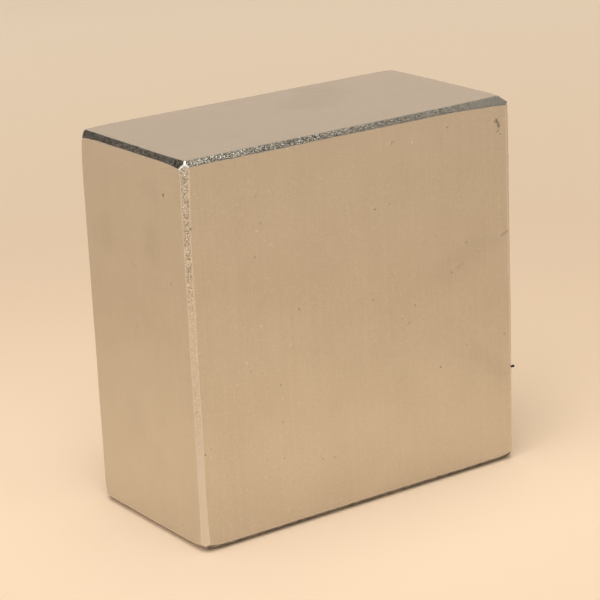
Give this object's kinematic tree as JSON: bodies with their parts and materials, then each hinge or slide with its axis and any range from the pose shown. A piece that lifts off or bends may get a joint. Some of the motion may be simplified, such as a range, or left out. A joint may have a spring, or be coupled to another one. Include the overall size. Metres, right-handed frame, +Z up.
{
  "type": "block magnet",
  "caption": "Nickel plated sintered block magnet, half as thick as it is wide and high, with chamfered edges that widen at the corners.",
  "frame": {"origin": "middle of the narrow face that the block stands on", "axes": "+X along the width, +Y through the thickness from the front pole face to the back one, +Z up"},
  "size_m": [0.05, 0.025, 0.05],
  "materials": {
    "nickel_plate": "satin bright nickel plate over ground faces, with coarser, duller chamfers"
  },
  "bodies": {
    "root": {"magnet_block": "nickel_plate"}
  },
  "joints": []
}
